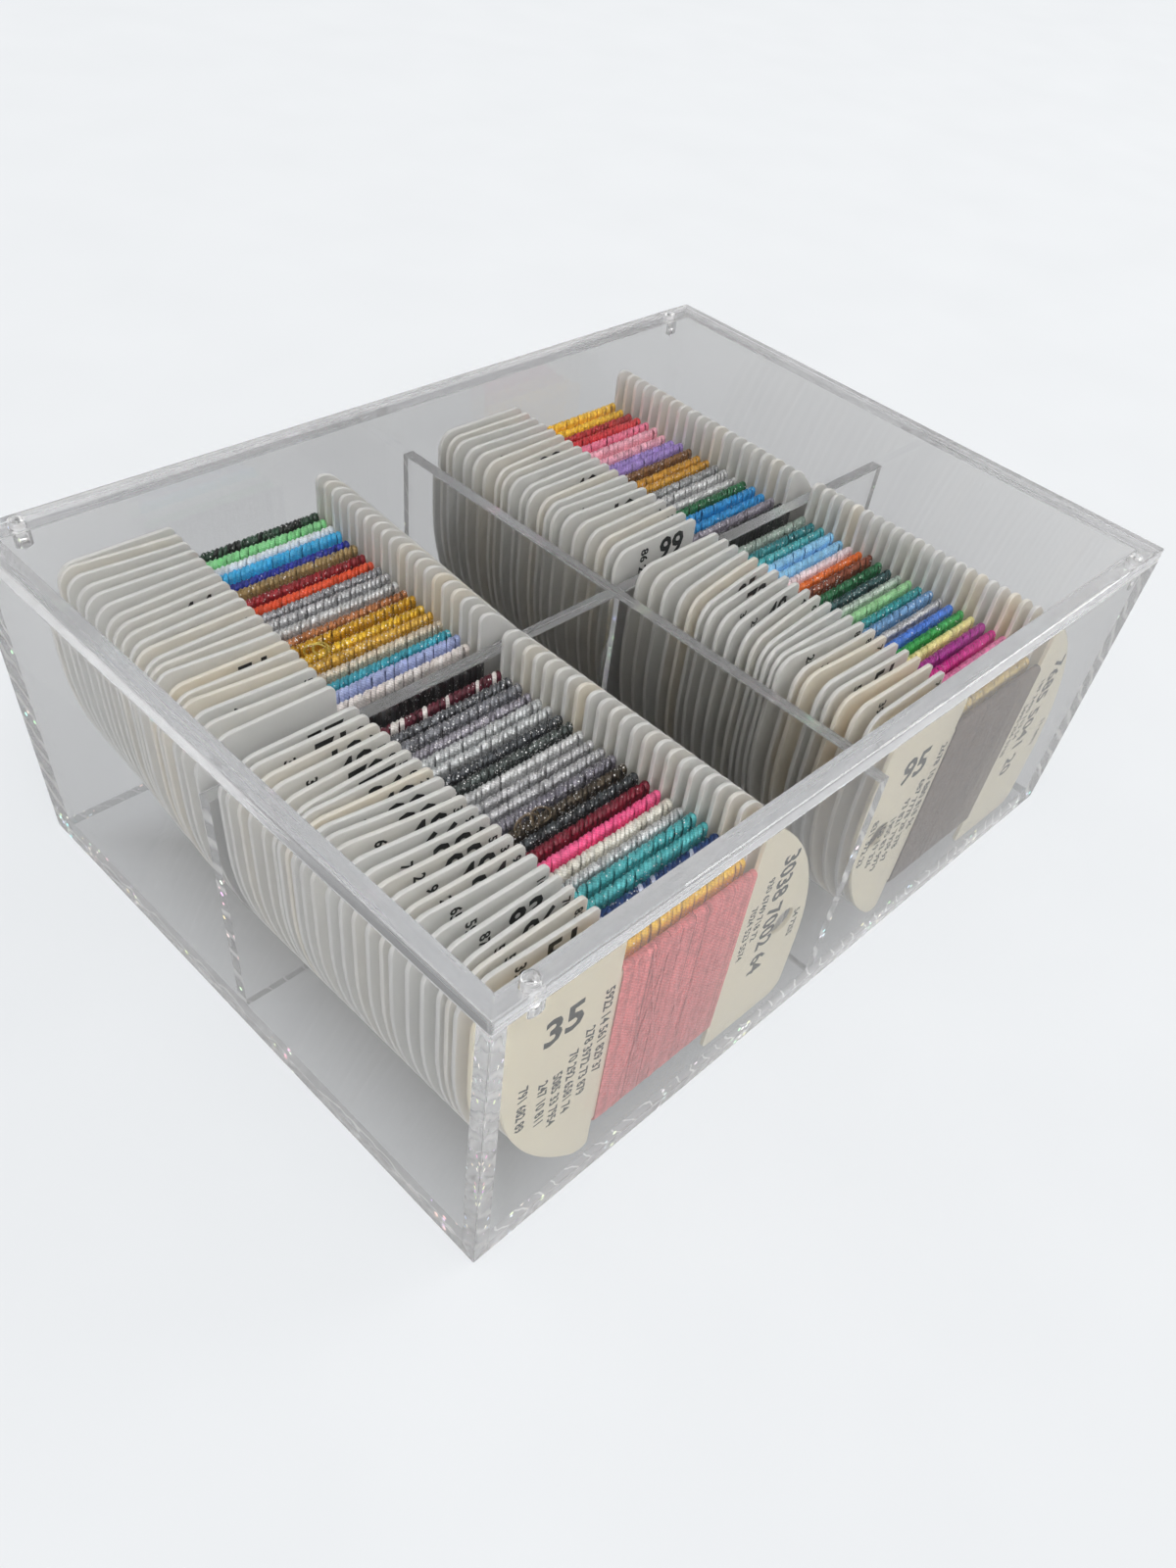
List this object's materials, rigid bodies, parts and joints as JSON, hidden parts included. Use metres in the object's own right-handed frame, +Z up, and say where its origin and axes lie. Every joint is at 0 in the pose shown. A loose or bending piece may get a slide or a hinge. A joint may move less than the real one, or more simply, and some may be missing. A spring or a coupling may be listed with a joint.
{
  "type": "embroidery thread box",
  "caption": "Clear acrylic box with a loose pinned lid and crossed dividers, holding rows of cards wound with embroidery thread.",
  "frame": {"origin": "middle of the underside", "axes": "+Z up, +X along the long front wall to the right as seen from the front, +Y from the front wall to the back wall"},
  "size_m": [0.203, 0.147, 0.0756],
  "materials": {
    "clear_sheet": "clear polished acrylic sheet, saw marks on its cut edges",
    "clear_rod": "clear acrylic rod, ground sides",
    "card_stock": "matt white card stock",
    "thread_left_front_1": "wound embroidery thread, rose and gold",
    "thread_left_front_2": "wound embroidery thread, teal",
    "thread_left_front_3": "wound embroidery thread, pink and crimson",
    "thread_left_front_4": "wound embroidery thread, slate",
    "thread_left_front_5": "wound embroidery thread, silver grey",
    "thread_left_front_6": "wound embroidery thread, charcoal and maroon",
    "thread_left_back_1": "wound embroidery thread, pearl and lavender",
    "thread_left_back_2": "wound embroidery thread, brass gold",
    "thread_left_back_3": "wound embroidery thread, dark gold",
    "thread_left_back_4": "wound embroidery thread, silver",
    "thread_left_back_5": "wound embroidery thread, dark red",
    "thread_left_back_6": "wound embroidery thread, blue and green",
    "thread_right_front_1": "wound embroidery thread, taupe and pink",
    "thread_right_front_2": "wound embroidery thread, magenta and purple",
    "thread_right_front_3": "wound embroidery thread, green and blue",
    "thread_right_front_4": "wound embroidery thread, pale green",
    "thread_right_front_5": "wound embroidery thread, copper orange",
    "thread_right_front_6": "wound embroidery thread, light blue and teal",
    "thread_right_back_1": "wound embroidery thread, black and blue",
    "thread_right_back_2": "wound embroidery thread, dark green",
    "thread_right_back_3": "wound embroidery thread, amber",
    "thread_right_back_4": "wound embroidery thread, lavender",
    "thread_right_back_5": "wound embroidery thread, light pink",
    "thread_right_back_6": "wound embroidery thread, red and yellow"
  },
  "bodies": {
    "box": {"floor_panel": "clear_sheet", "front_wall": "clear_sheet", "back_wall": "clear_sheet", "left_wall": "clear_sheet", "right_wall": "clear_sheet", "lengthwise_divider": "clear_sheet", "cross_divider": "clear_sheet"},
    "lid": {"lid_panel": "clear_sheet", "lid_pin_front_left": "clear_rod", "lid_pin_front_right": "clear_rod", "lid_pin_back_left": "clear_rod", "lid_pin_back_right": "clear_rod"},
    "left_front_group_1": {"left_front_cards_1": "card_stock", "left_front_threads_1": "thread_left_front_1"},
    "left_front_group_2": {"left_front_cards_2": "card_stock", "left_front_threads_2": "thread_left_front_2"},
    "left_front_group_3": {"left_front_cards_3": "card_stock", "left_front_threads_3": "thread_left_front_3"},
    "left_front_group_4": {"left_front_cards_4": "card_stock", "left_front_threads_4": "thread_left_front_4"},
    "left_front_group_5": {"left_front_cards_5": "card_stock", "left_front_threads_5": "thread_left_front_5"},
    "left_front_group_6": {"left_front_cards_6": "card_stock", "left_front_threads_6": "thread_left_front_6"},
    "left_back_group_1": {"left_back_cards_1": "card_stock", "left_back_threads_1": "thread_left_back_1"},
    "left_back_group_2": {"left_back_cards_2": "card_stock", "left_back_threads_2": "thread_left_back_2"},
    "left_back_group_3": {"left_back_cards_3": "card_stock", "left_back_threads_3": "thread_left_back_3"},
    "left_back_group_4": {"left_back_cards_4": "card_stock", "left_back_threads_4": "thread_left_back_4"},
    "left_back_group_5": {"left_back_cards_5": "card_stock", "left_back_threads_5": "thread_left_back_5"},
    "left_back_group_6": {"left_back_cards_6": "card_stock", "left_back_threads_6": "thread_left_back_6"},
    "right_front_group_1": {"right_front_cards_1": "card_stock", "right_front_threads_1": "thread_right_front_1"},
    "right_front_group_2": {"right_front_cards_2": "card_stock", "right_front_threads_2": "thread_right_front_2"},
    "right_front_group_3": {"right_front_cards_3": "card_stock", "right_front_threads_3": "thread_right_front_3"},
    "right_front_group_4": {"right_front_cards_4": "card_stock", "right_front_threads_4": "thread_right_front_4"},
    "right_front_group_5": {"right_front_cards_5": "card_stock", "right_front_threads_5": "thread_right_front_5"},
    "right_front_group_6": {"right_front_cards_6": "card_stock", "right_front_threads_6": "thread_right_front_6"},
    "right_back_group_1": {"right_back_cards_1": "card_stock", "right_back_threads_1": "thread_right_back_1"},
    "right_back_group_2": {"right_back_cards_2": "card_stock", "right_back_threads_2": "thread_right_back_2"},
    "right_back_group_3": {"right_back_cards_3": "card_stock", "right_back_threads_3": "thread_right_back_3"},
    "right_back_group_4": {"right_back_cards_4": "card_stock", "right_back_threads_4": "thread_right_back_4"},
    "right_back_group_5": {"right_back_cards_5": "card_stock", "right_back_threads_5": "thread_right_back_5"},
    "right_back_group_6": {"right_back_cards_6": "card_stock", "right_back_threads_6": "thread_right_back_6"}
  },
  "joints": [
    {"name": "lid_lift", "type": "slide", "parent": "box", "child": "lid", "axis": [0, 0, 1], "range_m": [0, 0.12]},
    {"name": "left_front_lift_1", "type": "slide", "parent": "box", "child": "left_front_group_1", "axis": [0, 0, 1], "range_m": [0, 0.004]},
    {"name": "left_front_lift_2", "type": "slide", "parent": "box", "child": "left_front_group_2", "axis": [0, 0, 1], "range_m": [0, 0.004]},
    {"name": "left_front_lift_3", "type": "slide", "parent": "box", "child": "left_front_group_3", "axis": [0, 0, 1], "range_m": [0, 0.004]},
    {"name": "left_front_lift_4", "type": "slide", "parent": "box", "child": "left_front_group_4", "axis": [0, 0, 1], "range_m": [0, 0.004]},
    {"name": "left_front_lift_5", "type": "slide", "parent": "box", "child": "left_front_group_5", "axis": [0, 0, 1], "range_m": [0, 0.004]},
    {"name": "left_front_lift_6", "type": "slide", "parent": "box", "child": "left_front_group_6", "axis": [0, 0, 1], "range_m": [0, 0.004]},
    {"name": "left_back_lift_1", "type": "slide", "parent": "box", "child": "left_back_group_1", "axis": [0, 0, 1], "range_m": [0, 0.004]},
    {"name": "left_back_lift_2", "type": "slide", "parent": "box", "child": "left_back_group_2", "axis": [0, 0, 1], "range_m": [0, 0.004]},
    {"name": "left_back_lift_3", "type": "slide", "parent": "box", "child": "left_back_group_3", "axis": [0, 0, 1], "range_m": [0, 0.004]},
    {"name": "left_back_lift_4", "type": "slide", "parent": "box", "child": "left_back_group_4", "axis": [0, 0, 1], "range_m": [0, 0.004]},
    {"name": "left_back_lift_5", "type": "slide", "parent": "box", "child": "left_back_group_5", "axis": [0, 0, 1], "range_m": [0, 0.004]},
    {"name": "left_back_lift_6", "type": "slide", "parent": "box", "child": "left_back_group_6", "axis": [0, 0, 1], "range_m": [0, 0.004]},
    {"name": "right_front_lift_1", "type": "slide", "parent": "box", "child": "right_front_group_1", "axis": [0, 0, 1], "range_m": [0, 0.004]},
    {"name": "right_front_lift_2", "type": "slide", "parent": "box", "child": "right_front_group_2", "axis": [0, 0, 1], "range_m": [0, 0.004]},
    {"name": "right_front_lift_3", "type": "slide", "parent": "box", "child": "right_front_group_3", "axis": [0, 0, 1], "range_m": [0, 0.004]},
    {"name": "right_front_lift_4", "type": "slide", "parent": "box", "child": "right_front_group_4", "axis": [0, 0, 1], "range_m": [0, 0.004]},
    {"name": "right_front_lift_5", "type": "slide", "parent": "box", "child": "right_front_group_5", "axis": [0, 0, 1], "range_m": [0, 0.004]},
    {"name": "right_front_lift_6", "type": "slide", "parent": "box", "child": "right_front_group_6", "axis": [0, 0, 1], "range_m": [0, 0.004]},
    {"name": "right_back_lift_1", "type": "slide", "parent": "box", "child": "right_back_group_1", "axis": [0, 0, 1], "range_m": [0, 0.004]},
    {"name": "right_back_lift_2", "type": "slide", "parent": "box", "child": "right_back_group_2", "axis": [0, 0, 1], "range_m": [0, 0.004]},
    {"name": "right_back_lift_3", "type": "slide", "parent": "box", "child": "right_back_group_3", "axis": [0, 0, 1], "range_m": [0, 0.004]},
    {"name": "right_back_lift_4", "type": "slide", "parent": "box", "child": "right_back_group_4", "axis": [0, 0, 1], "range_m": [0, 0.004]},
    {"name": "right_back_lift_5", "type": "slide", "parent": "box", "child": "right_back_group_5", "axis": [0, 0, 1], "range_m": [0, 0.004]},
    {"name": "right_back_lift_6", "type": "slide", "parent": "box", "child": "right_back_group_6", "axis": [0, 0, 1], "range_m": [0, 0.004]}
  ]
}
